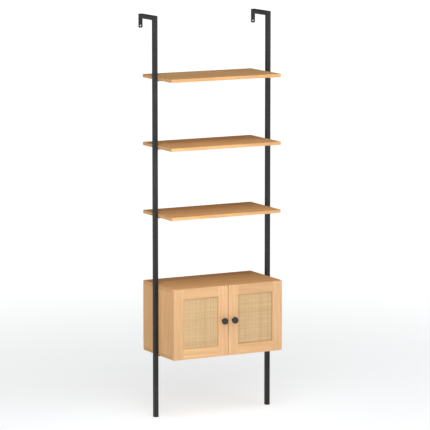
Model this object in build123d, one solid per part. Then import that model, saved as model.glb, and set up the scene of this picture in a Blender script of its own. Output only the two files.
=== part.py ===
from build123d import *
import os
from math import sqrt

# Ladder shelf: two square steel uprights that hook back to the wall at the top,
# three open boards and a two-door cabinet with woven cane door panels.
# Millimetres.  X = width (right), Y = depth (towards the wall), Z = up.
# Origin: middle of the footprint box, on the floor.

# ---------------------------------------------------------------- dimensions
TOTAL_H = 1835.0          # floor to the top of the wall arms
INNER_W = 560.0           # clear width between the uprights = board length
POST = 20.0               # square tube, outside
WALL = 1.5                # tube wall
TUBE_R = 2.0              # tube outer corner radius
POST_Y = 19.0             # upright centre line
WALL_Y = 163.0            # plane of the wall
BOARD_D = 288.0           # depth of every board
BOARD_T = 15.0            # open boards
SHELF_TOPS = (1560.0, 1250.0, 937.0)
SHELF_NAMES = ("top_shelf", "middle_shelf", "lower_shelf")
CAB_TOP = 612.0
CAB_BOTTOM = 287.0
PANEL_T = 16.0            # cabinet panels
BACK_T = 5.0              # cabinet back board
BACK_INSET = 8.0          # back board in front of the wall plane
GROOVE = 6.0              # depth of its groove
DOOR_T = 15.0
DOOR_GAP = 1.0            # door to carcass front
DOOR_EDGE = 1.0           # reveal beside the door
DOOR_MID = 1.5            # half of the gap between the doors
DOOR_TOP_REVEAL = 1.5
STILE = 50.0
RAIL = 48.0
TENON = 10.0
REBATE = 7.0              # rebate that holds the cane panel, from the back
LIP = 4.0                 # frame left in front of the cane
CANE_T = 1.6
KNOB_D = 30.0
KNOB_OUT = 22.0
KNOB_CAP = 8.0
KNOB_STEM_D = 15.0
KNOB_X = 26.0
KNOB_Z = 450.0
TAB_H = 64.0              # wall tab
TAB_T = 3.0
TAB_HOLE_R = 3.5
TAB_HOLE_UP = 10.0
FOOT_H = 8.0              # visible part of the foot cap
FOOT_PLUG = 20.0
SUP_L, SUP_T = 40.0, 4.0  # support tab under each board
SUP_SCREW = 26.0          # screw, measured from the upright

# concealed hinge: u runs inwards from the outer face of the side panel,
# v runs forwards from the carcass front
CUP_EDGE = 4.5            # door edge to cup
CUP_D = 35.0
CUP_WALL = 1.0
CUP_DEPTH = 11.5          # bore depth in the door
PIVOT_A = (31.0, 7.0)     # link on arm
PIVOT_B = (10.5, 4.0)     # link in cup
PIN_R = 1.25
PIN_CLEAR = 0.05
EYE_R = 2.6
LINK_HALF = 1.1
LINK_Z = 4.5
CHEEK_IN, CHEEK_OUT = 4.85, 6.35
HINGE_Z = (CAB_BOTTOM + 60.0, CAB_TOP - DOOR_TOP_REVEAL - 60.0)

XI = INNER_W / 2                      # 280, inner face of an upright
XO = XI + POST                        # 300, outer face
FRONT_Y = WALL_Y - BOARD_D            # -125, front of the boards and carcass
DOOR_BACK = FRONT_Y - DOOR_GAP        # -126
DOOR_FRONT = DOOR_BACK - DOOR_T       # -141
DOOR_Z0 = CAB_BOTTOM
DOOR_Z1 = CAB_TOP - DOOR_TOP_REVEAL
SIDE_IN = XI - PANEL_T                # 264

MINS = (Align.CENTER, Align.CENTER, Align.MIN)


def bx(x0, x1, y0, y1, z0, z1):
    return Pos((x0 + x1) / 2, (y0 + y1) / 2, (z0 + z1) / 2) * Box(x1 - x0, y1 - y0, z1 - z0)


def cyl(p, d, r, h):
    return Plane(origin=p, z_dir=d) * Cylinder(r, h, align=MINS)


def mir(s):
    return mirror(s, about=Plane.YZ)


def solids_of(items):
    out = []
    for i in items:
        out += list(i.solids())
    return out


parts = {}


def keep(name, *items):
    s = solids_of(items)
    parts[name] = s[0] if len(s) == 1 else Compound(children=s)


# ---------------------------------------------------------------- steel frame
def tube(length):
    outer = extrude(RectangleRounded(POST, POST, TUBE_R), length)
    inner = extrude(RectangleRounded(POST - 2 * WALL, POST - 2 * WALL, TUBE_R - WALL), length)
    return outer - inner


def above_mitre(big=400.0):
    """Everything on the arm's side of the 45 degree mitre plane."""
    y0, z0 = POST_Y - POST / 2, TOTAL_H
    pl = Plane(origin=(0, y0, z0), x_dir=(1, 0, 0), z_dir=(0, 1, 1))
    return pl * Box(3000, big, big, align=(Align.CENTER, Align.CENTER, Align.MIN))


CX = -(XI + XO) / 2                   # left upright centre
mitre = above_mitre()

post = Pos(CX, POST_Y, FOOT_H) * tube(TOTAL_H - FOOT_H) - mitre
arm_y0, arm_y1 = POST_Y - POST / 2, WALL_Y - TAB_T
arm = Plane(origin=(CX, arm_y0, TOTAL_H - POST / 2), x_dir=(1, 0, 0), z_dir=(0, 1, 0)) * tube(arm_y1 - arm_y0)
arm = arm & mitre

# rivet nuts in the upright take the two cabinet bolts
BOLT_Z = (CAB_BOTTOM + 63.0, CAB_TOP - 62.0)
RIV_R, BOLT_R = 4.5, 3.0
for z in BOLT_Z:
    post -= cyl((-XI - WALL - 1, POST_Y, z), (1, 0, 0), RIV_R, WALL + 2)
keep("left_post", post)
keep("right_post", mir(post))
keep("left_wall_arm", arm)
keep("right_wall_arm", mir(arm))

riv = []
for z in BOLT_Z:
    riv.append(cyl((-XI - 12, POST_Y, z), (1, 0, 0), RIV_R, 12) - cyl((-XI - 13, POST_Y, z), (1, 0, 0), BOLT_R, 14))
keep("left_rivet_nuts", *riv)
keep("right_rivet_nuts", *[mir(s) for s in riv])

tab = bx(-XO, -XI, WALL_Y - TAB_T, WALL_Y, TOTAL_H - TAB_H, TOTAL_H)
low = [e for e in tab.edges().filter_by(Axis.Y) if e.center().Z < TOTAL_H - TAB_H + 1]
tab = fillet(low, 5.0)
top_e = [e for e in tab.edges().filter_by(Axis.Y) if e.center().Z > TOTAL_H - 1]
tab = fillet(top_e, TUBE_R)
tab -= cyl((CX, WALL_Y - TAB_T - 1, TOTAL_H - TAB_H + TAB_HOLE_UP), (0, 1, 0), TAB_HOLE_R, TAB_T + 2)
keep("left_wall_tab", tab)
keep("right_wall_tab", mir(tab))

cap = Pos(CX, POST_Y, 0) * extrude(RectangleRounded(POST, POST, TUBE_R), FOOT_H)
cap = fillet(cap.faces().sort_by(Axis.Z)[0].edges(), 1.0)
plug = POST - 2 * WALL
cap += Pos(CX, POST_Y, FOOT_H) * extrude(RectangleRounded(plug, plug, TUBE_R - WALL), FOOT_PLUG)
cap -= Pos(CX, POST_Y, FOOT_H + 2) * extrude(RectangleRounded(plug - 4, plug - 4, 1.0), FOOT_PLUG)
keep("left_foot_cap", cap)
keep("right_foot_cap", mir(cap))

# welded support tabs, one under each board and one under the cabinet
UNDERS = [z - BOARD_T for z in SHELF_TOPS] + [CAB_BOTTOM]
SCR_R, SCR_HEAD_R, SCR_HEAD, SCR_IN = 2.0, 4.0, 2.4, 11.0
sx = -XI + SUP_SCREW
sups, scr, cab_scr = [], [], []
for k, z in enumerate(UNDERS):
    s = bx(-XI, -XI + SUP_L, POST_Y - POST / 2, POST_Y + POST / 2, z - SUP_T, z)
    ends = [e for e in s.edges().filter_by(Axis.Z) if e.center().X > -XI + SUP_L - 1]
    s = fillet(ends, 4.0)
    s -= cyl((sx, POST_Y, z - SUP_T - 1), (0, 0, 1), SCR_R, SUP_T + 2)
    sups.append(s)
    head = cyl((sx, POST_Y, z - SUP_T - SCR_HEAD), (0, 0, 1), SCR_HEAD_R, SCR_HEAD)
    head = fillet(head.faces().sort_by(Axis.Z)[0].edges(), 1.4)
    head -= Pos(sx, POST_Y, z - SUP_T - SCR_HEAD + 0.5) * Box(4.4, 1.0, 1.4)
    head -= Pos(sx, POST_Y, z - SUP_T - SCR_HEAD + 0.5) * Box(1.0, 4.4, 1.4)
    sc = head + cyl((sx, POST_Y, z - SUP_T), (0, 0, 1), SCR_R, SUP_T + SCR_IN)
    (scr if k < 3 else cab_scr).append(sc)
keep("left_support_tabs", *sups)
keep("right_support_tabs", *[mir(s) for s in sups])
keep("shelf_screws", *(scr + [mir(s) for s in scr]))
keep("cabinet_base_screws", *(cab_scr + [mir(s) for s in cab_scr]))


def pilot(z):
    h = cyl((sx, POST_Y, z - 1), (0, 0, 1), SCR_R, SCR_IN + 1)
    return [h, mir(h)]


# ---------------------------------------------------------------- open boards
def board(x0, x1, y0, y1, z0, z1, rv, rh):
    b = bx(x0, x1, y0, y1, z0, z1)
    b = fillet(b.edges().filter_by(Axis.Z), rv)
    hz = list(b.faces().sort_by(Axis.Z)[0].edges()) + list(b.faces().sort_by(Axis.Z)[-1].edges())
    return fillet(hz, rh)


for name, z in zip(SHELF_NAMES, SHELF_TOPS):
    b = board(-XI, XI, FRONT_Y, WALL_Y, z - BOARD_T, z, 2.5, 1.2)
    for h in pilot(z - BOARD_T):
        b -= h
    keep(name, b)

# ---------------------------------------------------------------- cabinet case
back_y1 = WALL_Y - BACK_INSET
back_y0 = back_y1 - BACK_T
z_in0, z_in1 = CAB_BOTTOM + PANEL_T, CAB_TOP - PANEL_T
back = bx(-SIDE_IN - GROOVE, SIDE_IN + GROOVE, back_y0, back_y1, z_in0 - GROOVE, z_in1 + GROOVE)

ctop = board(-XI, XI, FRONT_Y, WALL_Y, z_in1, CAB_TOP, 1.5, 0.8) - back
cbot = board(-XI, XI, FRONT_Y, WALL_Y, CAB_BOTTOM, z_in0, 1.5, 0.8) - back
for h in pilot(CAB_BOTTOM):
    cbot -= h
side = bx(-XI, -SIDE_IN, FRONT_Y, WALL_Y, z_in0, z_in1) - back

# side bolts from inside the cabinet into the rivet nuts
side_bolts = []
for z in BOLT_Z:
    side -= cyl((-XI - 1, POST_Y, z), (1, 0, 0), BOLT_R, PANEL_T + 2)
    hd = cyl((-SIDE_IN, POST_Y, z), (1, 0, 0), 6.0, 3.2)
    hd = fillet(hd.faces().sort_by(Axis.X)[-1].edges(), 1.8)
    hd -= Plane(origin=(-SIDE_IN + 3.3, POST_Y, z), z_dir=(-1, 0, 0)) * extrude(RegularPolygon(2.0, 6), 2.0)
    side_bolts.append(hd + cyl((-XI - 13, POST_Y, z), (1, 0, 0), BOLT_R, PANEL_T + 13))
keep("cabinet_side_bolts", *(side_bolts + [mir(s) for s in side_bolts]))

# cam locks, cam bolts and dowels at the eight corners of the carcass
CAM_R, CAM_T, CAM_IN = 7.5, 12.5, 24.0
cams, cbolts, dowels = [], [], []
xm = -XI + PANEL_T / 2
for zf, s in ((z_in1, 1), (z_in0, -1)):
    for y in (FRONT_Y + 50.0, WALL_Y - 60.0):
        zc = zf - s * CAM_IN
        side -= cyl((-SIDE_IN - CAM_T, y, zc), (1, 0, 0), CAM_R, CAM_T + 1)
        side -= cyl((xm, y, zc), (0, 0, s), 3.6, CAM_IN + 1)
        cam = cyl((-SIDE_IN - CAM_T, y, zc), (1, 0, 0), CAM_R, CAM_T)
        cam -= cyl((xm, y, zc), (0, 0, s), 3.8, CAM_R + 1)
        cam -= Plane(origin=(xm, y, zc), z_dir=(0, 0, s)) * Sphere(3.8)
        cam -= Pos(-SIDE_IN, y, zc) * Box(2.4, 8.0, 1.6)
        cam -= Pos(-SIDE_IN, y, zc) * Box(2.4, 1.6, 8.0)
        cams.append(cam)
        cb = cyl((xm, y, zc - 2.0 * s), (0, 0, s), 3.2, 3.0)
        cb += cyl((xm, y, zc), (0, 0, s), 2.0, CAM_IN)
        cb += cyl((xm, y, zf), (0, 0, s), 3.0, 11.0)
        cbolts.append(cb)
        dy = 32.0 if y < 0 else -32.0
        dw = cyl((xm, y + dy, zf - s * 18.0), (0, 0, s), 4.0, 30.0)
        dowels.append(dw)
        for t in (cyl((xm, y, zf), (0, 0, s), 3.0, 11.0), mir(cyl((xm, y, zf), (0, 0, s), 3.0, 11.0)), dw, mir(dw)):
            if s > 0:
                ctop -= t
            else:
                cbot -= t
        side -= dw
keep("cabinet_cam_locks", *(cams + [mir(s) for s in cams]))
keep("cabinet_cam_bolts", *(cbolts + [mir(s) for s in cbolts]))
keep("cabinet_dowels", *(dowels + [mir(s) for s in dowels]))
keep("cabinet_back", back)


# ---------------------------------------------------------------- doors
def P(u, v, z=0.0):
    """Left-hand hinge coordinates to the shelf's frame."""
    return (-XI + u, FRONT_Y - v, z)


def prism(pts, z0, z1):
    w = Polyline(*[P(u, v, 0)[:2] for u, v in pts], close=True)
    return Pos(0, 0, z0) * extrude(make_face(w), z1 - z0)


def vcyl(uv, r, z0, z1):
    x, y, _ = P(*uv)
    return cyl((x, y, z0), (0, 0, 1), r, z1 - z0)


dx0, dx1 = -XI + DOOR_EDGE, -DOOR_MID                  # left door
ox0, ox1 = dx0 + STILE, dx1 - STILE                    # opening
oz0, oz1 = DOOR_Z0 + RAIL, DOOR_Z1 - RAIL
cane_y0 = DOOR_FRONT + LIP                             # front of the cane panel
rebate = bx(ox0 - REBATE, ox1 + REBATE, cane_y0, DOOR_BACK + 1, oz0 - REBATE, oz1 + REBATE)
# tongue of each rail and its mortise in the stiles
ty0, ty1 = DOOR_FRONT + 5.0, DOOR_BACK - 5.0


def stile(x0, x1):
    b = bx(x0, x1, DOOR_FRONT, DOOR_BACK, DOOR_Z0, DOOR_Z1)
    es = [e for e in b.edges() if abs(e.center().Y - DOOR_FRONT) < 0.01]
    b = chamfer(es, 0.35)
    return b - rebate


hst = stile(dx0, ox0)
lst = stile(ox1, dx1)
rails = []
for z0, z1 in ((DOOR_Z1 - RAIL, DOOR_Z1), (DOOR_Z0, DOOR_Z0 + RAIL)):
    b = bx(ox0, ox1, DOOR_FRONT, DOOR_BACK, z0, z1)
    es = [e for e in b.edges() if abs(e.center().Y - DOOR_FRONT) < 0.01]
    b = chamfer(es, 0.35)
    tz0, tz1 = (z0 + REBATE + 4, z1 - 6) if z1 == DOOR_Z1 else (z0 + 6, z1 - REBATE - 4)
    t = bx(ox0 - TENON, ox1 + TENON, ty0, ty1, tz0, tz1)
    b = (b + t) - rebate
    hst -= t
    lst -= t
    rails.append(b)

cane = bx(ox0 - REBATE + 0.5, ox1 + REBATE - 0.5, cane_y0, cane_y0 + CANE_T, oz0 - REBATE + 0.5, oz1 + REBATE - 0.5)
by0, by1 = cane_y0 + CANE_T, DOOR_BACK - 0.6
beads = []
for x0, x1, z0, z1 in (
    (ox0 - REBATE, ox1 + REBATE, oz1, oz1 + REBATE),
    (ox0 - REBATE, ox1 + REBATE, oz0 - REBATE, oz0),
    (ox0 - REBATE, ox0, oz0, oz1),
    (ox1, ox1 + REBATE, oz0, oz1),
):
    beads.append(bx(x0, x1, by0, by1, z0, z1))

# cup hinges
cup_u = DOOR_EDGE + CUP_EDGE + CUP_D / 2
cups, links, arms, plates, cup_scr, plate_scr = [], [], [], [], [], []
side_pilots = []
v0 = DOOR_GAP                                          # door back, in v
for hz in HINGE_Z:
    cx, cy, _ = P(cup_u, v0)
    bore = cyl((cx, cy + 1, hz), (0, -1, 0), CUP_D / 2, CUP_DEPTH + 1)
    cavity = cyl((cx, cy + 1, hz), (0, -1, 0), CUP_D / 2 - CUP_WALL, CUP_DEPTH - CUP_WALL + 1)
    fl = Plane(origin=(cx, cy, hz), x_dir=(1, 0, 0), z_dir=(0, -1, 0)) * extrude(RectangleRounded(18, 62, 8.5), 1.0)
    hst = hst - bore - fl
    cup = (cyl((cx, cy, hz), (0, -1, 0), CUP_D / 2, CUP_DEPTH) + fl) - cavity
    for dz in (-24.5, 24.5):
        hole = cyl((cx, cy + 1, hz + dz), (0, -1, 0), 1.75, 10.5)
        head = cyl((cx, cy, hz + dz), (0, -1, 0), 3.2, 1.0)
        cup -= head
        hst -= hole
        hs = head + cyl((cx, cy, hz + dz), (0, -1, 0), 1.75, 9.5)
        hs -= Pos(cx, cy, hz + dz) * Box(3.4, 1.2, 0.8)
        hs -= Pos(cx, cy, hz + dz) * Box(0.8, 1.2, 3.4)
        cup_scr.append(hs)
    half = sqrt((CUP_D / 2 - CUP_WALL / 2) ** 2 - (cup_u - PIVOT_B[0]) ** 2)
    pin = vcyl(PIVOT_B, PIN_R, hz - half, hz + half) & cyl((cx, cy, hz), (0, -1, 0), CUP_D / 2 - 0.1, CUP_DEPTH)
    # relief in the rim where the link comes out when the door stands open
    (rx0, ry0), (rx1, ry1) = P(5.0, v0 + 2.4)[:2], P(7.7, v0 - 0.2)[:2]
    cup -= bx(min(rx0, rx1), max(rx0, rx1), min(ry0, ry1), max(ry0, ry1), hz - LINK_Z - 0.7, hz + LINK_Z + 0.7)
    cup += pin
    cups.append(cup)

    # link: an eye at each end of a flat bar
    ax, ay = PIVOT_A
    ex, ey = PIVOT_B
    L = sqrt((ax - ex) ** 2 + (ay - ey) ** 2)
    nx, ny = -(ay - ey) / L * LINK_HALF, (ax - ex) / L * LINK_HALF
    bar = prism([(ax + nx, ay + ny), (ex + nx, ey + ny), (ex - nx, ey - ny), (ax - nx, ay - ny)], hz - LINK_Z, hz + LINK_Z)
    lk = bar + vcyl(PIVOT_A, EYE_R, hz - LINK_Z, hz + LINK_Z) + vcyl(PIVOT_B, EYE_R, hz - LINK_Z, hz + LINK_Z)
    lk -= vcyl(PIVOT_A, PIN_R + PIN_CLEAR, hz - 20, hz + 20)
    lk -= vcyl(PIVOT_B, PIN_R + PIN_CLEAR, hz - 20, hz + 20)
    links.append(lk)

    # arm: channel over the mounting plate with two cheeks that carry the pin
    cheek = [(18.2, -58), (27, -58), (27, -16), (34, -6), (34, 7), (28, 7), (28, -1.5), (21, -9), (18.2, -12)]
    am = prism(cheek, hz + CHEEK_IN, hz + CHEEK_OUT) + prism(cheek, hz - CHEEK_OUT, hz - CHEEK_IN)
    for s0, s1 in ((CHEEK_IN, CHEEK_OUT), (-CHEEK_OUT, -CHEEK_IN)):
        am += vcyl(PIVOT_A, 3.0, hz + s0, hz + s1)
    am += prism([(25.5, -58), (27, -58), (27, -16), (25.5, -16)], hz - CHEEK_OUT, hz + CHEEK_OUT)
    am += prism([(25.6, -18), (27, -16), (34, -6), (32.6, -5)], hz - CHEEK_OUT, hz + CHEEK_OUT)
    am += vcyl(PIVOT_A, PIN_R, hz - CHEEK_OUT - 0.6, hz + CHEEK_OUT + 0.6)
    x, y, _ = P(24, -34)
    am -= cyl((x, y, hz), (1, 0, 0), 2.3, 5)
    x, y, _ = P(24, -50)
    am -= cyl((x, y, hz), (1, 0, 0), 2.3, 5)
    arms.append(am)

    # mounting plate on the side panel
    x, y, _ = P(16, -37)
    pl = bx(x, x + 2.2, y - 9, y + 9, hz - 24, hz + 24)
    pl = fillet(pl.edges().filter_by(Axis.X), 6.0)
    x0, yb, _ = P(16, -60)
    _, yf, _ = P(16, -16)
    pl += bx(x0, x0 + 2.2, yf, yb, hz - 6.35, hz + 6.35)
    pl += bx(x0 + 2.2, x0 + 9.5, y - 14, y + 14, hz - 4.4, hz + 4.4)
    for dz in (-16.0, 16.0):
        pl -= cyl((x - 1, y, hz + dz), (1, 0, 0), 2.0, 5)
        sh = cyl((x - 12, y, hz + dz), (1, 0, 0), 2.0, 14.2)
        hd = cyl((x + 2.2, y, hz + dz), (1, 0, 0), 3.6, 1.8)
        hd = fillet(hd.faces().sort_by(Axis.X)[-1].edges(), 1.0)
        hd -= Pos(x + 4.0, y, hz + dz) * Box(1.6, 3.6, 0.9)
        hd -= Pos(x + 4.0, y, hz + dz) * Box(1.6, 0.9, 3.6)
        plate_scr.append(sh + hd)
        side_pilots.append(cyl((x - 12, y, hz + dz), (1, 0, 0), 2.0, 13))
    # the two adjusting screws between arm and plate
    xa, ya, _ = P(25.5, -34)
    plates.append(pl)
    for vv in (-34, -50):
        xs, ys, _ = P(25.5, vv)
        sc = cyl((xs, ys, hz), (1, 0, 0), 2.25, 1.9)
        sc -= Pos(xs + 1.9, ys, hz) * Box(1.4, 3.0, 0.7)
        plate_scr.append(sc)

for h in side_pilots:
    side -= h
keep("cabinet_top", ctop)
keep("cabinet_bottom", cbot)
keep("cabinet_left_side", side)
keep("cabinet_right_side", mir(side))

# knob, turned in one piece, with a screw from the back of the door
kx = -KNOB_X
KY = DOOR_FRONT
prof = Polyline((0, 0), (KNOB_STEM_D / 2 + 0.8, 0), (KNOB_STEM_D / 2, 1.2), (KNOB_STEM_D / 2, KNOB_OUT - KNOB_CAP - 1.6),
                (KNOB_D / 2 - 1.6, KNOB_OUT - KNOB_CAP), (KNOB_D / 2, KNOB_OUT - KNOB_CAP + 1.6),
                (KNOB_D / 2, KNOB_OUT - 1.6), (KNOB_D / 2 - 0.5, KNOB_OUT - 0.5), (KNOB_D / 2 - 1.6, KNOB_OUT),
                (0, KNOB_OUT), close=True)
kn = revolve(Plane.XY * make_face(prof), Axis.Y)
# profile y is the distance out of the door
kn = Plane(origin=(kx, KY, KNOB_Z), x_dir=(1, 0, 0), z_dir=(0, 0, -1)) * kn
ks_r = 2.0
ks = cyl((kx, DOOR_BACK, KNOB_Z), (0, -1, 0), ks_r, DOOR_T + 12.0)
kn -= cyl((kx, DOOR_BACK, KNOB_Z), (0, -1, 0), ks_r, DOOR_T + 12.0)
lst -= cyl((kx, DOOR_BACK + 1, KNOB_Z), (0, -1, 0), ks_r, DOOR_T + 3)
kh = cyl((kx, DOOR_BACK, KNOB_Z), (0, 1, 0), 4.4, 2.6)
kh = fillet(kh.faces().sort_by(Axis.Y)[-1].edges(), 1.4)
kh -= Pos(kx, DOOR_BACK + 2.6, KNOB_Z) * Box(4.6, 2.4, 1.0)
kh -= Pos(kx, DOOR_BACK + 2.6, KNOB_Z) * Box(1.0, 2.4, 4.6)
ks = ks + kh

# magnetic catch under the cabinet top and its strike plates on the doors
cat = bx(-32, 32, FRONT_Y + 1.0, FRONT_Y + 16.0, z_in1 - 13.0, z_in1)
cat = fillet(cat.edges().filter_by(Axis.Z), 2.0)
mags = []
for x in (-16, 16):
    m = bx(x - 9, x + 9, FRONT_Y + 0.7, FRONT_Y + 8.0, z_in1 - 10.5, z_in1 - 3.5)
    cat -= m
    mags.append(m)
cs = []
for x in (-28.0, 0.0, 28.0):
    if x == 0:
        continue
    c = cyl((x, FRONT_Y + 9.0, z_in1 - 15.2), (0, 0, 1), 3.0, 2.2)
    c = fillet(c.faces().sort_by(Axis.Z)[0].edges(), 1.0)
    c -= Pos(x, FRONT_Y + 9.0, z_in1 - 15.2) * Box(3.2, 0.9, 1.6)
    c += cyl((x, FRONT_Y + 9.0, z_in1 - 13.0), (0, 0, 1), 1.6, 23.0)
    cat -= cyl((x, FRONT_Y + 9.0, z_in1 - 14.0), (0, 0, 1), 1.6, 15.0)
    ctop -= cyl((x, FRONT_Y + 9.0, z_in1 - 1.0), (0, 0, 1), 1.6, 11.0)
    cs.append(c)
keep("cabinet_top", ctop)
keep("catch_housing", cat)
keep("catch_magnets", *mags)
keep("catch_screws", *cs)
strike = bx(-25, -7, DOOR_BACK, DOOR_BACK + 1.2, z_in1 - 11.5, z_in1 - 2.5)
strike = fillet(strike.edges().filter_by(Axis.Y), 1.5)

# thin rubber stops between doors and carcass
stops = []
for x in (-18.0, -60.0):
    stops.append(cyl((x, FRONT_Y, CAB_BOTTOM + 8.0), (0, -1, 0), 4.0, 0.65))
keep("door_stops", *(stops + [mir(s) for s in stops]))

left = {
    "hinge_stile": [hst], "lock_stile": [lst], "top_rail": [rails[0]], "bottom_rail": [rails[1]],
    "cane_panel": [cane], "cane_beads": beads, "knob": [kn], "knob_screw": [ks], "strike_plate": [strike],
    "hinge_cups": cups, "hinge_cup_screws": cup_scr, "hinge_links": links,
    "hinge_arms": arms, "hinge_plates": plates, "hinge_plate_screws": plate_scr,
}
for n, items in left.items():
    keep("left_door_" + n, *items)
    keep("right_door_" + n, *[mir(s) for s in items])

os.makedirs("parts", exist_ok=True)
for n, s in parts.items():
    export_step(s, "parts/" + n + ".step")
print(len(parts), "nodes")
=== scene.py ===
import bpy
import math
import random
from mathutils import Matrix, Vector


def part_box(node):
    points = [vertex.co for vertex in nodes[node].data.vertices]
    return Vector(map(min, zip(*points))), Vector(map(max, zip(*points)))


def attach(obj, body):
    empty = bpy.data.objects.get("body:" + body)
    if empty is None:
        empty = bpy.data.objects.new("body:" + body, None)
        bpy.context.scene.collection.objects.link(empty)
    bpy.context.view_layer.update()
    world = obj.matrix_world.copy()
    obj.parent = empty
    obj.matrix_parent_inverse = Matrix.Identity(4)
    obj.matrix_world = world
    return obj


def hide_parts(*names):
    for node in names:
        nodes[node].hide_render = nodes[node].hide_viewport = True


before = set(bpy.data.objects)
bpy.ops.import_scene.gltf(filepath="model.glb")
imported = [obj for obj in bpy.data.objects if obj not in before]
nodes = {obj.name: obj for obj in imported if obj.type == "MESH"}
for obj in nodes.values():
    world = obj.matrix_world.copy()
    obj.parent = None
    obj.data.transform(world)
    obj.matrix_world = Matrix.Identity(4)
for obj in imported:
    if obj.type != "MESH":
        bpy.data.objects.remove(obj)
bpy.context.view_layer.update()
scene = bpy.context.scene


# ------------------------------------------------------------------ camera
def make_camera():
    cam = bpy.data.cameras.new("camera")
    ob = bpy.data.objects.new("camera", cam)
    scene.collection.objects.link(ob)
    cam.sensor_width = 36.0
    cam.lens = 253.86
    cam.clip_start, cam.clip_end = 0.5, 400.0
    yaw, pitch, roll = math.radians(27.951), math.radians(8.4991), math.radians(0.031)
    fw = Vector((math.sin(yaw) * math.cos(pitch), math.cos(yaw) * math.cos(pitch), -math.sin(pitch)))
    ob.location = (-6.4114, -12.0943, 2.9604)
    ob.rotation_mode = "QUATERNION"
    ob.rotation_quaternion = fw.to_track_quat("-Z", "Y")
    scene.camera = ob
    return ob


make_camera()


# ------------------------------------------------------------------ node helpers
class Tree:
    """A short way to write a node tree."""

    def __init__(self, owner):
        owner.use_nodes = True
        self.t = owner.node_tree
        self.t.nodes.clear()

    def n(self, kind, **kw):
        node = self.t.nodes.new(kind)
        for k, v in kw.items():
            setattr(node, k, v)
        return node

    def link(self, a, b):
        self.t.links.new(a, b)

    def put(self, node, **kw):
        for k, v in kw.items():
            s = node.inputs[k.replace("_", " ")]
            if isinstance(v, bpy.types.NodeSocket):
                self.t.links.new(v, s)
            else:
                s.default_value = v
        return node

    def math(self, op, a, b=0.0, clamp=False):
        m = self.n("ShaderNodeMath", operation=op, use_clamp=clamp)
        for i, v in enumerate((a, b)):
            if isinstance(v, bpy.types.NodeSocket):
                self.t.links.new(v, m.inputs[i])
            else:
                m.inputs[i].default_value = v
        return m.outputs[0]

    def mapped(self, scale, offset=(0, 0, 0)):
        tc = self.n("ShaderNodeTexCoord")
        mp = self.n("ShaderNodeMapping")
        mp.inputs["Scale"].default_value = scale
        mp.inputs["Location"].default_value = offset
        self.link(tc.outputs["Object"], mp.inputs["Vector"])
        return mp.outputs["Vector"]

    def noise(self, vec, scale=1.0, detail=4.0, rough=0.55, distortion=0.0):
        nz = self.n("ShaderNodeTexNoise")
        self.link(vec, nz.inputs["Vector"])
        nz.inputs["Scale"].default_value = scale
        nz.inputs["Detail"].default_value = detail
        nz.inputs["Roughness"].default_value = rough
        nz.inputs["Distortion"].default_value = distortion
        return nz.outputs["Fac"]

    def ramp(self, fac, stops, interp="LINEAR"):
        r = self.n("ShaderNodeValToRGB")
        r.color_ramp.interpolation = interp
        e = r.color_ramp.elements
        while len(e) < len(stops):
            e.new(0.5)
        for i, (p, c) in enumerate(stops):
            e[i].position = p
            e[i].color = (*c, 1.0) if len(c) == 3 else c
        self.link(fac, r.inputs["Fac"])
        return r.outputs["Color"]

    def span(self, fac, a, b, lo=0.0, hi=1.0, smooth=False):
        m = self.n("ShaderNodeMapRange", clamp=True)
        if smooth:
            m.interpolation_type = "SMOOTHSTEP"
        self.link(fac, m.inputs["Value"])
        m.inputs["From Min"].default_value = a
        m.inputs["From Max"].default_value = b
        m.inputs["To Min"].default_value = lo
        m.inputs["To Max"].default_value = hi
        return m.outputs["Result"]

    def mix(self, fac, a, b, kind="MIX"):
        m = self.n("ShaderNodeMix", data_type="RGBA", blend_type=kind)
        ins = {"f": m.inputs[0], "a": m.inputs[6], "b": m.inputs[7]}
        for key, v in (("f", fac), ("a", a), ("b", b)):
            if isinstance(v, bpy.types.NodeSocket):
                self.link(v, ins[key])
            elif key == "f":
                ins[key].default_value = v
            else:
                ins[key].default_value = (*v, 1.0) if len(v) == 3 else v
        return m.outputs[2]

    def edge(self, radius, gain):
        """0 on flat faces, 1 along outer and inner edges."""
        bv = self.n("ShaderNodeBevel", samples=4)
        bv.inputs["Radius"].default_value = radius
        ge = self.n("ShaderNodeNewGeometry")
        d = self.n("ShaderNodeVectorMath", operation="DOT_PRODUCT")
        self.link(bv.outputs["Normal"], d.inputs[0])
        self.link(ge.outputs["Normal"], d.inputs[1])
        inv = self.math("SUBTRACT", 1.0, d.outputs["Value"])
        return self.math("MULTIPLY", inv, gain, clamp=True)

    def bump(self, height, strength, distance, normal=None):
        b = self.n("ShaderNodeBump")
        b.inputs["Strength"].default_value = strength
        b.inputs["Distance"].default_value = distance
        self.link(height, b.inputs["Height"])
        if normal is not None:
            self.link(normal, b.inputs["Normal"])
        return b.outputs["Normal"]

    def finish(self, **kw):
        p = self.n("ShaderNodeBsdfPrincipled")
        out = self.n("ShaderNodeOutputMaterial")
        self.link(p.outputs["BSDF"], out.inputs["Surface"])
        self.put(p, **kw)
        return p


def srgb(r, g, b):
    return tuple(((c / 255.0 + 0.055) / 1.055) ** 2.4 if c > 10 else c / 255.0 / 12.92 for c in (r, g, b))


def scaled(c, k):
    return tuple(x * k for x in c)


# ------------------------------------------------------------------ wood
OAK = srgb(224, 184, 141)
# painted shade: a darker, more saturated copy of the oak for the shelves and the cabinet's top and bottom, whose upper
# faces take less light
BOARD_OAK_PAINTED_SHADE = (OAK[0] * 0.99, OAK[1] * 0.935, OAK[2] * 0.81)
# painted shade: a warmer, more saturated copy of the oak for the cabinet sides, which take less light than the fronts
SIDE_OAK_PAINTED_SHADE = (OAK[0] * 1.03, OAK[1] * 0.985, OAK[2] * 0.90)


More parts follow.
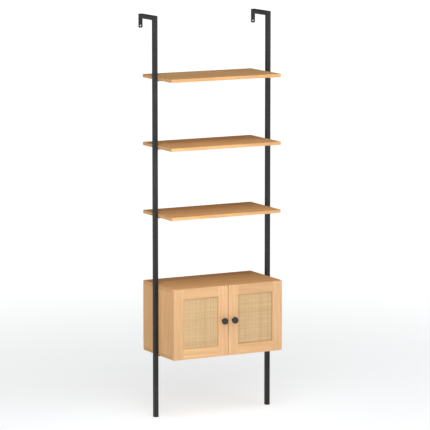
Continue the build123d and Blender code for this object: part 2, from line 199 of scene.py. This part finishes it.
def wood(name, grain, seed, base=OAK, depth=1.0, rings=1.0, rough=0.62, figure=1.0, pith=(0.0, 0.0, 0.0)):
    """Straight-grained light wood under a satin lacquer. grain is the axis the fibres follow."""
    m = bpy.data.materials.new(name)
    t = Tree(m)
    rnd = random.Random(seed)
    off = tuple(rnd.uniform(-20, 20) for _ in range(3))

    def sc(along, across, out):
        v = [across, across, across]
        v["XYZ".index(grain)] = along
        # the board's face normal gets the low frequency of a plane cut through the log
        face = {"X": 2, "Z": 0, "Y": 2}[grain]
        v[face] = out if grain != "Z" else across
        return tuple(v)

    # growth rings drawn out into long arcs
    low = t.mapped(sc(0.55, 8.0, 5.0), off)
    warp = t.noise(low, 1.0, 2.0, 0.5, 0.4)
    wave = t.n("ShaderNodeTexWave", wave_type="BANDS", bands_direction="DIAGONAL", wave_profile="SIN")
    t.link(t.mapped(sc(0.9, 13.0, 11.0), off), wave.inputs["Vector"])
    wave.inputs["Scale"].default_value = 1.9
    wave.inputs["Distortion"].default_value = 10.0
    wave.inputs["Detail"].default_value = 2.0
    wave.inputs["Detail Scale"].default_value = 0.7
    ring = t.span(wave.outputs["Fac"], 0.15, 1.0, smooth=True)
    # wide bands of early and late growth, and a blush that drifts along the board
    band = t.noise(t.mapped(sc(0.7, 46.0, 46.0), off), 1.0, 1.5, 0.5, 0.2)
    blush = t.noise(t.mapped(sc(3.5, 15.0, 15.0), off), 1.0, 3.0, 0.55, 0.9)
    # fibres, streaks and pores
    streak = t.noise(t.mapped(sc(2.2, 95.0, 95.0), off), 1.0, 4.0, 0.6)
    fibre = t.noise(t.mapped(sc(9.0, 420.0, 420.0), off), 1.0, 5.0, 0.65)
    pore_n = t.noise(t.mapped(sc(70.0, 2100.0, 2100.0), off), 1.0, 2.0, 0.5)
    pore = t.math("MULTIPLY", t.span(pore_n, 0.60, 0.72), t.span(streak, 0.35, 0.65))
    fleck = t.span(t.noise(t.mapped(sc(26.0, 260.0, 260.0), off), 1.0, 1.0, 0.5), 0.66, 0.76)

    light, dark = scaled(base, 1.06), (base[0] * 0.80, base[1] * 0.72, base[2] * 0.62)
    c = t.mix(t.span(warp, 0.3, 0.72), light, (base[0] * 0.93, base[1] * 0.895, base[2] * 0.85))
    k = t.math("MULTIPLY", t.span(blush, 0.40, 0.72, smooth=True), 0.55 * figure)
    c = t.mix(k, c, (base[0] * 0.93, base[1] * 0.83, base[2] * 0.80))
    k = t.math("MULTIPLY", t.span(band, 0.36, 0.68, smooth=True), 0.36 * depth)
    c = t.mix(k, c, (base[0] * 0.86, base[1] * 0.80, base[2] * 0.72))
    k = t.math("MULTIPLY", ring, 0.34 * depth * rings)
    c = t.mix(k, c, dark)
    k = t.math("MULTIPLY", t.span(streak, 0.44, 0.72), 0.50 * depth)
    c = t.mix(k, c, (base[0] * 0.80, base[1] * 0.72, base[2] * 0.64))
    k = t.math("MULTIPLY", t.span(fibre, 0.45, 0.8), 0.30 * depth)
    c = t.mix(k, c, (base[0] * 0.80, base[1] * 0.73, base[2] * 0.62))
    k = t.math("MULTIPLY", pore, 0.45 * depth)
    c = t.mix(k, c, (base[0] * 0.45, base[1] * 0.36, base[2] * 0.26))
    k = t.math("MULTIPLY", fleck, 0.22 * depth)
    c = t.mix(k, c, (min(1, base[0] * 1.12), base[1] * 1.13, base[2] * 1.16))
    # sawn ends: growth rings round the pith, darker and full of open vessels
    ge = t.n("ShaderNodeNewGeometry")
    sep = t.n("ShaderNodeSeparateXYZ")
    t.link(ge.outputs["Normal"], sep.inputs[0])
    ends = t.span(t.math("ABSOLUTE", sep.outputs["XYZ".index(grain)]), 0.75, 0.95)
    yr = t.n("ShaderNodeTexWave", wave_type="RINGS", rings_direction=grain, wave_profile="SAW")
    t.link(t.mapped((1, 1, 1), tuple(-q for q in pith)), yr.inputs["Vector"])
    yr.inputs["Scale"].default_value = 118.0
    yr.inputs["Distortion"].default_value = 3.0
    yr.inputs["Detail"].default_value = 2.0
    yr.inputs["Detail Scale"].default_value = 0.25
    vessel = t.span(t.noise(t.mapped((1500.0, 1500.0, 1500.0), off), 1.0, 1.0, 0.5), 0.56, 0.68)
    e = t.mix(yr.outputs["Fac"], (base[0] * 0.94, base[1] * 0.90, base[2] * 0.84), (base[0] * 0.78, base[1] * 0.70, base[2] * 0.60))
    e = t.mix(t.math("MULTIPLY", vessel, 0.35), e, (base[0] * 0.45, base[1] * 0.36, base[2] * 0.27))
    c = t.mix(t.math("MULTIPLY", ends, 0.75), c, e)
    edge = t.edge(0.0008, 3.0)
    # painted highlight: the wood's colour is lightened along its outer and inner edges
    c = t.mix(t.math("MULTIPLY", edge, 0.10), c, (min(1, base[0] * 1.08), base[1] * 1.05, base[2] * 1.0))

    height = t.math("SUBTRACT", t.math("MULTIPLY", fibre, 0.35), t.math("MULTIPLY", pore, 0.9))
    nrm = t.bump(height, 0.35, 0.00012)
    ro = t.math("ADD", t.math("MULTIPLY", fibre, 0.10), t.math("MULTIPLY", pore, 0.15))
    ro = t.math("ADD", ro, rough - 0.05)
    ro = t.math("SUBTRACT", ro, t.math("MULTIPLY", edge, 0.06))
    t.finish(Base_Color=c, Roughness=ro, Specular_IOR_Level=0.07, Normal=nrm)
    return m


# ------------------------------------------------------------------ metals and plastics
def powder_coat(name, base, rough=0.5, worn=1.0, spec=0.32):
    """Fine-textured powder coat: orange peel, slight mottling, edges rubbed a little shinier."""
    m = bpy.data.materials.new(name)
    t = Tree(m)
    v = t.mapped((1, 1, 1))
    peel = t.noise(v, 1500.0, 2.0, 0.5)
    grit = t.noise(v, 5200.0, 1.0, 0.5)
    mott = t.noise(v, 22.0, 4.0, 0.6)
    dust = t.span(t.noise(v, 9.0, 5.0, 0.7), 0.48, 0.8)
    edge = t.edge(0.0009, 2.4)
    rub = t.math("MULTIPLY", edge, t.span(t.noise(v, 70.0, 4.0, 0.7), 0.42, 0.7))
    c = t.mix(t.span(mott, 0.3, 0.7), scaled(base, 0.86), scaled(base, 1.14))
    c = t.mix(t.math("MULTIPLY", dust, 0.05), c, (0.30, 0.29, 0.27))
    c = t.mix(t.math("MULTIPLY", rub, 0.30 * worn), c, (0.13, 0.13, 0.135))
    ro = t.math("ADD", t.math("MULTIPLY", mott, 0.12), rough - 0.06)
    ro = t.math("ADD", ro, t.math("MULTIPLY", grit, 0.05))
    ro = t.math("SUBTRACT", ro, t.math("MULTIPLY", rub, 0.12 * worn))
    h = t.math("ADD", peel, t.math("MULTIPLY", grit, 0.35))
    t.finish(Base_Color=c, Roughness=ro, Specular_IOR_Level=spec, Normal=t.bump(h, 0.30, 0.00006))
    return m


def plated(name, base, rough=0.28, direction="Z", metallic=1.0):
    """Zinc or nickel plate on pressed steel: faint drawn lines, haze and dull spots."""
    m = bpy.data.materials.new(name)
    t = Tree(m)
    v = t.mapped((1, 1, 1))
    s = [900.0, 900.0, 900.0]
    s["XYZ".index(direction)] = 30.0
    lines = t.noise(t.mapped(tuple(s)), 1.0, 3.0, 0.6)
    haze = t.noise(v, 60.0, 4.0, 0.6)
    spots = t.span(t.noise(v, 260.0, 2.0, 0.5), 0.6, 0.75)
    edge = t.edge(0.0004, 2.5)
    c = t.mix(t.span(haze, 0.3, 0.7), scaled(base, 0.88), scaled(base, 1.05))
    c = t.mix(t.math("MULTIPLY", spots, 0.25), c, scaled(base, 0.6))
    c = t.mix(t.math("MULTIPLY", edge, 0.4), c, (0.86, 0.86, 0.86))
    ro = t.math("ADD", t.math("MULTIPLY", haze, 0.2), rough - 0.1)
    ro = t.math("ADD", ro, t.math("MULTIPLY", lines, 0.10))
    t.finish(Base_Color=c, Metallic=metallic, Roughness=ro, Normal=t.bump(lines, 0.15, 0.00004))
    return m


def moulded(name, base, rough=0.5, spec=0.4):
    """Moulded plastic or rubber with a spark-eroded grain."""
    m = bpy.data.materials.new(name)
    t = Tree(m)
    v = t.mapped((1, 1, 1))
    grain = t.noise(v, 2600.0, 2.0, 0.6)
    tone = t.noise(v, 45.0, 4.0, 0.6)
    scuff = t.span(t.noise(t.mapped((60, 60, 400)), 1.0, 4.0, 0.7), 0.60, 0.78)
    edge = t.edge(0.0006, 2.2)
    c = t.mix(t.span(tone, 0.3, 0.7), scaled(base, 0.85), scaled(base, 1.18))
    c = t.mix(t.math("MULTIPLY", scuff, 0.10), c, (0.35, 0.35, 0.34))
    c = t.mix(t.math("MULTIPLY", edge, 0.14), c, (0.25, 0.25, 0.25))
    ro = t.math("ADD", t.math("MULTIPLY", tone, 0.15), rough - 0.07)
    ro = t.math("ADD", ro, t.math("MULTIPLY", scuff, 0.1))
    t.finish(Base_Color=c, Roughness=ro, Specular_IOR_Level=spec, Normal=t.bump(grain, 0.35, 0.00008))
    return m


CANE = srgb(217, 186, 142)


def cane_material(name):
    """Split cane: each strand has its own tone and fibres along its length; painted shade darkens the strands' sloped
    sides, where they meet, and the strands along the opening's edge.
    """
    m = bpy.data.materials.new(name)
    t = Tree(m)
    at = t.n("ShaderNodeAttribute", attribute_name="strand")
    sep = t.n("ShaderNodeSeparateColor")
    t.link(at.outputs["Color"], sep.inputs["Color"])
    tone, upright, side = sep.outputs[0], sep.outputs[1], sep.outputs[2]
    fz = t.noise(t.mapped((1900.0, 1900.0, 22.0)), 1.0, 3.0, 0.6)
    fx = t.noise(t.mapped((22.0, 1900.0, 1900.0)), 1.0, 3.0, 0.6)
    fibre = t.n("ShaderNodeMix", data_type="FLOAT")
    t.link(upright, fibre.inputs[0])
    t.link(fx, fibre.inputs[2])
    t.link(fz, fibre.inputs[3])
    fib = fibre.outputs[0]
    blotch = t.noise(t.mapped((28.0, 28.0, 28.0)), 1.0, 4.0, 0.6)
    node_mark = t.span(t.noise(t.mapped((150.0, 150.0, 150.0)), 1.0, 2.0, 0.5), 0.66, 0.78)
    c = t.mix(tone, (CANE[0] * 0.80, CANE[1] * 0.77, CANE[2] * 0.70), (CANE[0] * 1.06, CANE[1] * 1.07, CANE[2] * 1.10))
    c = t.mix(t.math("MULTIPLY", t.span(fib, 0.35, 0.75), 0.30), c, (CANE[0] * 0.66, CANE[1] * 0.58, CANE[2] * 0.46))
    c = t.mix(t.math("MULTIPLY", t.span(blotch, 0.45, 0.8), 0.30), c, (CANE[0] * 0.74, CANE[1] * 0.66, CANE[2] * 0.52))
    c = t.mix(t.math("MULTIPLY", node_mark, 0.35), c, (CANE[0] * 0.50, CANE[1] * 0.40, CANE[2] * 0.28))
    # painted shade: darker on each strand's sloped sides and ends and on the strands along the opening's edge
    c = t.mix(t.math("MULTIPLY", side, 0.45), c, (CANE[0] * 0.52, CANE[1] * 0.44, CANE[2] * 0.34))
    ro = t.math("ADD", t.math("MULTIPLY", fib, 0.18), 0.46)
    t.finish(Base_Color=c, Roughness=ro, Specular_IOR_Level=0.3, Normal=t.bump(fib, 0.4, 0.00006))
    return m


# ------------------------------------------------------------------ carried-over nodes
BLACK = (0.0152, 0.0154, 0.0162)
M = {
    "steel": powder_coat("black_powder_coat", BLACK, 0.50),
    "knob": powder_coat("knob_satin_black", (0.0150, 0.0163, 0.0190), 0.38, 0.6, 0.5),
    "black_screw": powder_coat("blackened_screw", (0.03, 0.03, 0.031), 0.42, 1.2, 0.5),
    "plastic": moulded("black_cap_plastic", (0.018, 0.018, 0.019), 0.55),
    "catch": moulded("catch_plastic", (0.62, 0.60, 0.56), 0.45),
    "stop": moulded("clear_grey_rubber", (0.42, 0.41, 0.39), 0.6, 0.25),
    "nickel": plated("nickel_plate", (0.66, 0.65, 0.63), 0.27, "Z"),
    "zinc": plated("zinc_plate", (0.58, 0.60, 0.64), 0.36, "X"),
    "magnet": plated("ground_magnet", (0.30, 0.30, 0.31), 0.42, "X", 0.8),
    "back": wood("back_board_wood", "X", 31, scaled(OAK, 0.88), 0.9, 1.2, 0.62),
    "dowel": wood("beech_dowel", "Z", 33, srgb(222, 188, 150), 0.7, 0.3, 0.7),
    "bead": wood("bead_wood", "Z", 35, scaled(OAK, 0.92), 1.0, 0.4, 0.6),
}


def pith(node, seed):
    """A point beside the piece that its growth rings are centred on."""
    lo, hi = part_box(node)
    rnd = random.Random(seed)
    mid = (lo + hi) / 2
    return (mid.x + rnd.uniform(0.03, 0.06), mid.y + rnd.uniform(-0.09, 0.09), mid.z - rnd.uniform(0.05, 0.09))


def set_material(names, material):
    for n in names:
        ob = nodes[n]
        ob.data.materials.clear()
        ob.data.materials.append(material)


set_material([s + p for s in ("left_", "right_") for p in ("post", "wall_arm", "wall_tab", "support_tabs")], M["steel"])
set_material(["left_foot_cap", "right_foot_cap"], M["plastic"])
set_material(["shelf_screws", "cabinet_base_screws", "cabinet_side_bolts"], M["black_screw"])
set_material(["cabinet_cam_locks", "cabinet_cam_bolts", "left_rivet_nuts", "right_rivet_nuts", "catch_screws"], M["zinc"])
set_material(["catch_housing"], M["catch"])
set_material(["catch_magnets"], M["magnet"])
set_material(["door_stops"], M["stop"])
set_material(["cabinet_dowels"], M["dowel"])
set_material(["cabinet_back"], M["back"])

for i, n in enumerate(("top_shelf", "middle_shelf", "lower_shelf", "cabinet_top", "cabinet_bottom")):
    set_material([n], wood("wood_" + n, "X", 101 + 7 * i, BOARD_OAK_PAINTED_SHADE, 1.4, 1.1, pith=pith(n, i)))
set_material(["cabinet_left_side"], wood("wood_left_side", "Z", 141, SIDE_OAK_PAINTED_SHADE, 1.1, 0.9, pith=pith("cabinet_left_side", 8)))
set_material(["cabinet_right_side"], wood("wood_right_side", "Z", 142, SIDE_OAK_PAINTED_SHADE, 1.1, 0.9, pith=pith("cabinet_right_side", 9)))
# painted light and shade: each door's stiles and rails are lighter or darker copies of the oak, set to how much light
# each piece takes
for i, d in enumerate(("left_door_", "right_door_")):
    set_material([d + "hinge_stile"], wood("wood_" + d + "hinge_stile", "Z", 151 + 11 * i, scaled(OAK, 0.95 + 0.04 * i), 1.0, 0.7, pith=pith(d + "hinge_stile", i)))
    set_material([d + "lock_stile"], wood("wood_" + d + "lock_stile", "Z", 152 + 11 * i, scaled(OAK, 1.04), 0.9, 0.7, pith=pith(d + "lock_stile", i)))
    set_material([d + "top_rail"], wood("wood_" + d + "top_rail", "X", 153 + 11 * i, scaled(OAK, 0.95), 1.2, 0.9, figure=1.6))
    set_material([d + "bottom_rail"], wood("wood_" + d + "bottom_rail", "X", 154 + 11 * i, scaled(OAK, 1.08), 1.2, 0.9, figure=1.2))
    set_material([d + "cane_beads"], M["bead"])
    set_material([d + "knob"], M["knob"])
    set_material([d + p for p in ("hinge_cups", "hinge_links", "hinge_arms", "hinge_plates", "strike_plate")], M["nickel"])
    set_material([d + p for p in ("knob_screw", "hinge_cup_screws", "hinge_plate_screws")], M["zinc"])

# ------------------------------------------------------------------ woven cane
PITCH = 0.0044
STRAND_W = 0.00415
STRAND_T = 0.00055
WAVE_A = 0.00038


def strand_profile(w, t):
    """Split cane in section: flat back, gently crowned face."""
    return ((-w / 2, -t * 0.25), (-w * 0.36, t * 0.32), (0.0, t * 0.5), (w * 0.36, t * 0.32), (w / 2, -t * 0.25), (0.0, -t * 0.5))


def weave(name, door, mirror):
    lo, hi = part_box(door + "cane_panel")
    yc = (lo.y + hi.y) / 2
    x0, x1, z0, z1 = lo.x + 0.001, hi.x - 0.001, lo.z + 0.001, hi.z - 0.001
    nx, nz = int((x1 - x0) / PITCH), int((z1 - z0) / PITCH)
    xs = [(x0 + x1) / 2 + (i - (nx - 1) / 2) * PITCH for i in range(nx)]
    zs = [(z0 + z1) / 2 + (j - (nz - 1) / 2) * PITCH for j in range(nz)]
    rnd = random.Random(11 if mirror else 5)
    verts, faces, cols = [], [], []
    hs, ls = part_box(door + "hinge_stile"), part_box(door + "lock_stile")
    ox0, ox1 = (ls[1].x, hs[0].x) if mirror else (hs[1].x, ls[0].x)
    oz0, oz1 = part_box(door + "bottom_rail")[1].z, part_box(door + "top_rail")[0].z

    def add(kind, k, pos, crossings, start, end, rim):
        # the strands along the opening's edge are pressed into the groove; their colour is darkened as painted shade
        # for the groove's shadow
        tone = min(1.0, max(0.0, rnd.gauss(0.55, 0.30)))
        width = STRAND_W * rnd.uniform(0.94, 1.03)
        drift = rnd.uniform(-0.00012, 0.00012)
        phase = rnd.uniform(0, 6.28)
        prof = strand_profile(width, STRAND_T)
        n = len(prof)
        ts = [start]
        for c in crossings:
            ts += [c - PITCH * 0.30, c, c + PITCH * 0.30]
        ts.append(end)
        ts = sorted(x for x in ts if start <= x <= end)
        base = len(verts)
        for t in ts:
            u = (t - crossings[0]) / PITCH
            s = math.cos(math.pi * (u + k))
            s = math.copysign(abs(s) ** 0.75, s)
            off = WAVE_A * s * (1 if kind else -1)
            side = drift + 0.00010 * math.sin(phase + t * 90.0)
            for a, b in prof:
                y = yc - (off + b)
                if kind:
                    verts.append((pos + side + a, y, t))
                else:
                    verts.append((t, y, pos + side + a))
        rows = len(ts)
        for r in range(rows - 1):
            for q in range(n):
                a, b = base + r * n + q, base + r * n + (q + 1) % n
                f = (a, b, b + n, a + n)
                faces.append(f if kind else f[::-1])
                # painted shade: the strand's two sloped side faces, where it meets its neighbours, are marked for
                # darkening
                edge = 0.6 if q in (0, 3) else 0.0
                cols.append((tone, 1.0 if kind else 0.0, 1.0 if rim else edge))
        first = tuple(base + q for q in range(n))
        last = tuple(base + (rows - 1) * n + q for q in range(n))
        faces.append(first[::-1] if kind else first)
        faces.append(last if kind else last[::-1])
        # painted shade: the strand's end faces are marked for darkening too
        cols.extend([(tone, 1.0 if kind else 0.0, 0.6)] * 2)

    for i, x in enumerate(xs):
        add(1, i, x, zs, z0, z1, min(x - ox0, ox1 - x) < PITCH * 0.75)
    for j, z in enumerate(zs):
        add(0, j, z, xs, x0, x1, min(z - oz0, oz1 - z) < PITCH * 0.75)
    me = bpy.data.meshes.new(name)
    me.from_pydata(verts, [], faces)
    att = me.color_attributes.new(name="strand", type="FLOAT_COLOR", domain="CORNER")
    flat = []
    for f, c in zip(faces, cols):
        flat += [c[0], c[1], c[2], 1.0] * len(f)
    att.data.foreach_set("color", flat)
    me.polygons.foreach_set("use_smooth", [True] * len(me.polygons))
    me.update()
    ob = bpy.data.objects.new(name, me)
    scene.collection.objects.link(ob)
    me.materials.append(M_CANE)
    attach(ob, door[:-1])
    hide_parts(door + "cane_panel")
    return ob


M_CANE = cane_material("split_cane")
weave("left_door_cane_weave", "left_door_", False)
weave("right_door_cane_weave", "right_door_", True)


# ------------------------------------------------------------------ weld beads
def bead(name, runs, radius, seed):
    """Short fillet welds: overlapping ripples laid along each run (start, end, side1, side2)."""
    rnd = random.Random(seed)
    verts, faces = [], []
    for p0, p1, s1, s2 in runs:
        p0, p1, s1, s2 = Vector(p0), Vector(p1), Vector(s1), Vector(s2)
        L = (p1 - p0).length
        rows = max(8, int(L / 0.00045))
        seg = 6
        base = len(verts)
        for r in range(rows + 1):
            f = r / rows
            taper = min(1.0, 6.0 * min(f, 1 - f) + 0.25)
            ripple = 1.0 + 0.16 * abs(math.sin(f * L / 0.0016 * math.pi)) + rnd.uniform(-0.03, 0.03)
            rr = radius * taper * ripple
            c = p0.lerp(p1, f)
            verts.append(tuple(c))
            for q in range(seg + 1):
                a = q / seg * math.pi / 2
                verts.append(tuple(c + s1 * rr * math.cos(a) + s2 * rr * math.sin(a)))
        n = seg + 2
        for r in range(rows):
            for q in range(n):
                a, b = base + r * n + q, base + r * n + (q + 1) % n
                faces.append((a, b, b + n, a + n))
        faces.append(tuple(base + q for q in range(n))[::-1])
        faces.append(tuple(base + rows * n + q for q in range(n)))
    me = bpy.data.meshes.new(name)
    me.from_pydata(verts, [], faces)
    me.polygons.foreach_set("use_smooth", [True] * len(me.polygons))
    me.update()
    import bmesh
    bm = bmesh.new()
    bm.from_mesh(me)
    bmesh.ops.recalc_face_normals(bm, faces=bm.faces)
    bm.to_mesh(me)
    bm.free()
    ob = bpy.data.objects.new(name, me)
    scene.collection.objects.link(ob)
    me.materials.append(M["steel"])
    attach(ob, "carcass")
    return ob


for side, sx in (("left", -1), ("right", 1)):
    tlo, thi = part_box(side + "_wall_tab")
    alo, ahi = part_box(side + "_wall_arm")
    yf = tlo.y
    e = 0.0022
    runs = [((alo.x + e, yf, alo.z), (ahi.x - e, yf, alo.z), (0, -1, 0), (0, 0, -1))]
    bead(side + "_tab_weld", runs, 0.0016, 3)
    runs = []
    plo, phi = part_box(side + "_post")
    inner = phi.x if sx < 0 else plo.x
    for top in ("top_shelf", "middle_shelf", "lower_shelf", "cabinet_bottom"):
        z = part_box(top)[0].z - 0.004
        runs.append(((inner, plo.y + 0.003, z), (inner, phi.y - 0.003, z), (-sx, 0, 0), (0, 0, -1)))
    bead(side + "_support_welds", runs, 0.0016, 4)


# ------------------------------------------------------------------ floor, light
def make_floor():
    me = bpy.data.meshes.new("floor")
    R, rings, seg = 90.0, 24, 96
    verts, faces = [(0, 0, 0)], []
    for r in range(1, rings + 1):
        rad = R * (r / rings) ** 2.2
        for s in range(seg):
            a = 2 * math.pi * s / seg
            verts.append((rad * math.cos(a), rad * math.sin(a), 0))
    for s in range(seg):
        faces.append((0, 1 + s, 1 + (s + 1) % seg))
    for r in range(rings - 1):
        for s in range(seg):
            a, b = 1 + r * seg + s, 1 + r * seg + (s + 1) % seg
            faces.append((a, a + seg, b + seg, b))
    me.from_pydata(verts, [], faces)
    me.update()
    ob = bpy.data.objects.new("floor", me)
    ob.location.z = -0.0002
    scene.collection.objects.link(ob)
    m = bpy.data.materials.new("pale_floor")
    t = Tree(m)
    tc = t.n("ShaderNodeTexCoord")
    ln = t.n("ShaderNodeVectorMath", operation="LENGTH")
    t.link(tc.outputs["Object"], ln.inputs[0])
    # painted shade: the floor's colour is darker near the object and turns near white further out
    c = t.mix(t.span(ln.outputs["Value"], 1.5, 16.0, smooth=True), FLOOR_NEAR, (0.95, 0.95, 0.95))
    dif = t.n("ShaderNodeBsdfDiffuse")
    t.link(c, dif.inputs["Color"])
    em = t.n("ShaderNodeEmission")
    em.inputs["Color"].default_value = (1, 1, 1, 1)
    # the floor glows though it is no lamp; its glow is weaker near the object as painted shade
    t.link(t.span(ln.outputs["Value"], 0.7, 4.5, FLOOR_GLOW[0], FLOOR_GLOW[1], True), em.inputs["Strength"])
    add = t.n("ShaderNodeAddShader")
    t.link(dif.outputs[0], add.inputs[0])
    t.link(em.outputs[0], add.inputs[1])
    out = t.n("ShaderNodeOutputMaterial")
    t.link(add.outputs[0], out.inputs["Surface"])
    me.materials.append(m)


# painted shade: the floor's diffuse colour near the object, tinted bluish to offset the warm light bounced off the wood
FLOOR_NEAR = (0.40, 0.425, 0.445)
# the floor's glow, weakest near the object as painted shade and strongest far out
FLOOR_GLOW = (0.70, 0.99)
make_floor()

world = bpy.data.worlds.new("studio")
scene.world = world
w = Tree(world)
tc = w.n("ShaderNodeTexCoord")
sp = w.n("ShaderNodeSeparateXYZ")
w.link(tc.outputs["Generated"], sp.inputs[0])
col = w.ramp(sp.outputs["Z"], [(0.0, (0.1, 0.1, 0.1)), (0.25, (0.3, 0.3, 0.3)), (0.45, (1, 1, 1)), (1.0, (1, 1, 1))])
bg = w.n("ShaderNodeBackground")
w.link(col, bg.inputs["Color"])
bg.inputs["Strength"].default_value = 0.09
seen = w.n("ShaderNodeBackground")
seen.inputs["Color"].default_value = (1, 1, 1, 1)
seen.inputs["Strength"].default_value = 1.0
pick = w.n("ShaderNodeMixShader")
w.link(w.n("ShaderNodeLightPath").outputs["Is Camera Ray"], pick.inputs["Fac"])
w.link(bg.outputs[0], pick.inputs[1])
w.link(seen.outputs[0], pick.inputs[2])
wo = w.n("ShaderNodeOutputWorld")
w.link(pick.outputs[0], wo.inputs["Surface"])


def area(name, loc, target, size, power, colour=(1, 1, 1)):
    L = bpy.data.lights.new(name, "AREA")
    L.shape = "RECTANGLE"
    L.size, L.size_y = size
    L.energy = power
    L.color = colour
    ob = bpy.data.objects.new(name, L)
    scene.collection.objects.link(ob)
    ob.location = loc
    ob.rotation_mode = "QUATERNION"
    ob.rotation_quaternion = (Vector(target) - Vector(loc)).to_track_quat("-Z", "Y")
    ob.visible_camera = False
    return ob


area("key_softbox", (-1.5, -3.0, 1.7), (0, 0, 0.9), (2.0, 2.2), 35)
area("front_fill", (2.6, -2.6, 1.6), (0, 0, 0.9), (2.0, 2.2), 28)
area("side_strip", (-1.0, -0.8, 0.95), (-0.2, 0, 0.7), (0.6, 1.0), 5.2)
area("top_softbox", (-0.3, -1.6, 3.6), (0, 0, 0.6), (2.4, 2.0), 58)

scene.view_settings.view_transform = "Standard"
scene.view_settings.look = "None"
